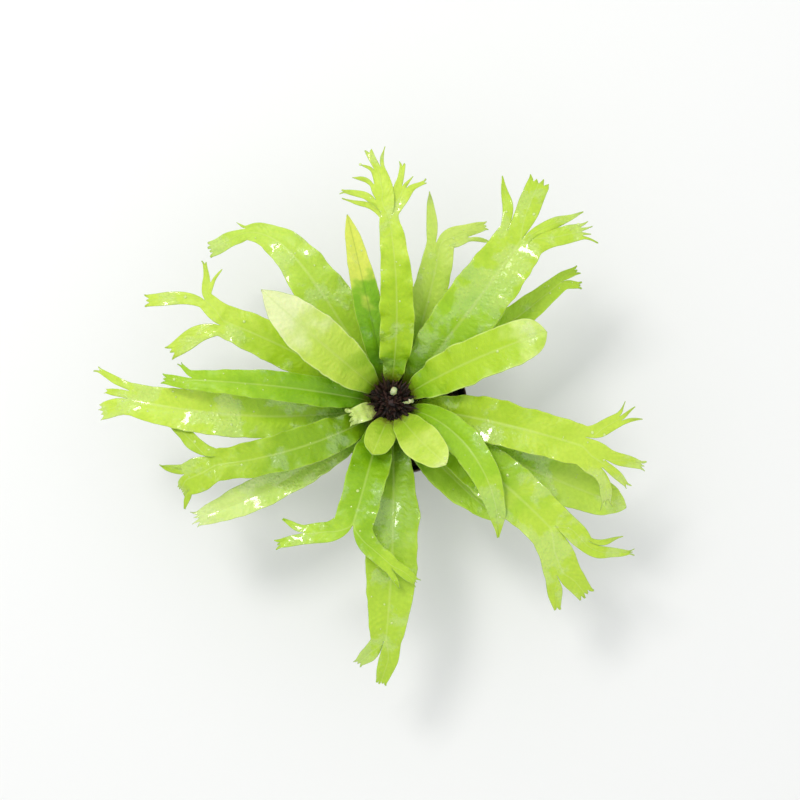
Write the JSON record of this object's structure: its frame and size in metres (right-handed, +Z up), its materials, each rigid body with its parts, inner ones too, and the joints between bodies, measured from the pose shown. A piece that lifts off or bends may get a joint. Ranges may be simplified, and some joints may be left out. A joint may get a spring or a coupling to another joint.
{
  "type": "potted fern",
  "caption": "Crested bird's-nest fern in a round nursery pot: arching strap fronds with forked tips round a dark scaly crown.",
  "frame": {"origin": "centre of the pot's flat underside, on the surface it stands on", "axes": "+Z up along the pot's axis; +X and +Y are the plant's own directions, with the longest frond towards -X"},
  "size_m": [0.3919, 0.3817, 0.1912],
  "materials": {
    "pot_plastic": "near-black nursery plastic with brown scuffed edges",
    "potting_mix": "dark damp peat and bark",
    "crown_scales": "matt black-brown papery scales",
    "crozier": "pale, soft, slightly downy",
    "frond": "leathery green leaf with a soft wet sheen",
    "young_frond": "pale yellow-green young leaf, softly glossy"
  },
  "bodies": {
    "root": {"nursery_pot": "pot_plastic", "potting_mix": "potting_mix", "crown": "crown_scales", "crozier_centre": "crozier", "crozier_east": "crozier", "frond_north": "frond", "frond_north_narrow": "frond", "frond_northwest_arching": "frond", "frond_northwest_young": "young_frond", "frond_west_antlered": "frond", "frond_west_unrolling": "young_frond", "frond_west_upper": "frond", "frond_west_long": "frond", "frond_southwest_wavy": "frond", "frond_southwest_low": "frond", "frond_south_forked": "frond", "frond_south_long": "frond", "frond_south_small": "young_frond", "frond_southeast_young": "young_frond", "frond_east_drooping": "frond", "frond_southeast_crested": "frond", "frond_southeast_low": "frond", "frond_east_crested": "frond", "frond_east_low": "frond", "frond_northeast_plain": "frond", "frond_northeast_low": "frond", "frond_northeast_crested": "frond", "frond_north_forked": "frond"}
  },
  "joints": []
}
